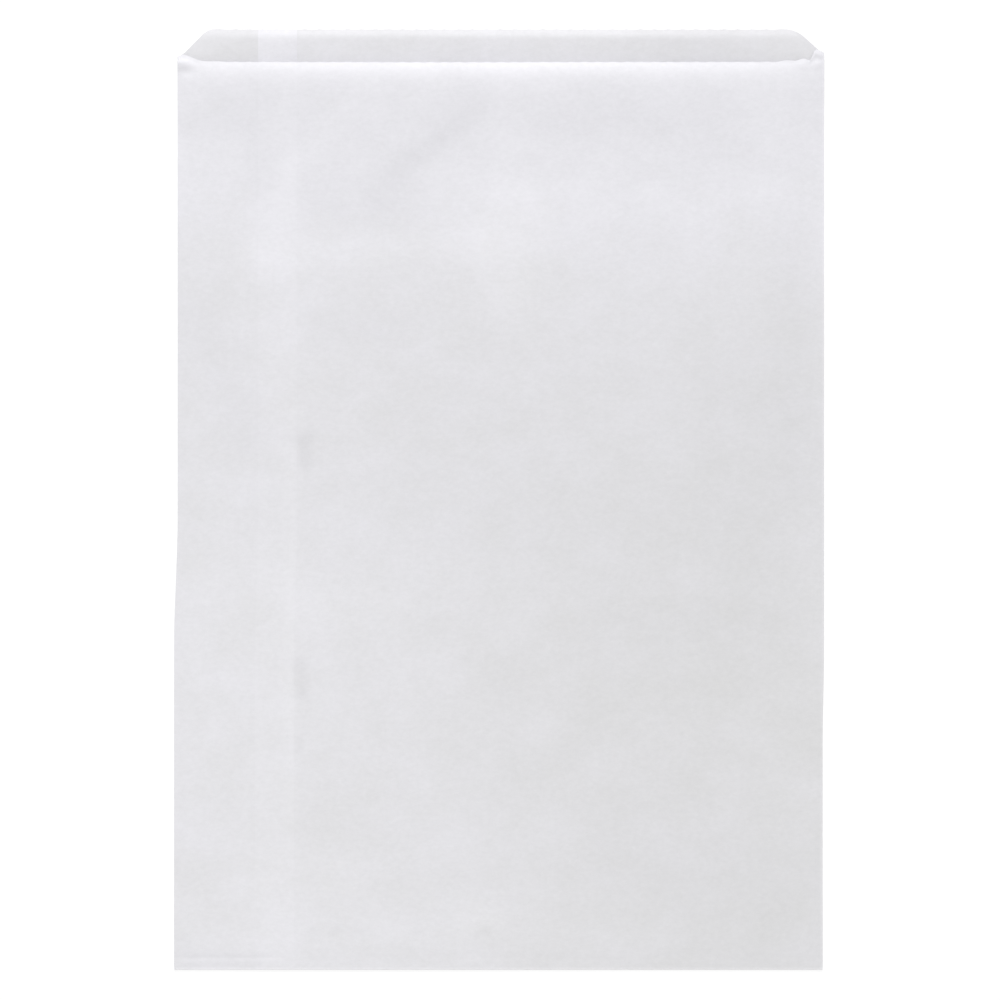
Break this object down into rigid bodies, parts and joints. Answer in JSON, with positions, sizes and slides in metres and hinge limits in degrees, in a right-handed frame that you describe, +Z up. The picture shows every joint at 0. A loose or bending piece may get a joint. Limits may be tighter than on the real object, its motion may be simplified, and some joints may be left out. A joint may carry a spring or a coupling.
{
  "type": "flat paper bag",
  "caption": "Flat white paper bag, one folded sheet with a glued back lap, a raised lip at the mouth and a base turned under and glued.",
  "frame": {"origin": "centre of the bag's outline, on the surface it lies on", "axes": "+X across the bag, +Y from the base towards the mouth, +Z up through the layers from the back panel to the front one"},
  "size_m": [0.25, 0.3628, 0.0083],
  "materials": {
    "white_paper": "matte, slightly cloudy machine-finished white paper"
  },
  "bodies": {
    "root": {"paper_bag": "white_paper"}
  },
  "joints": []
}
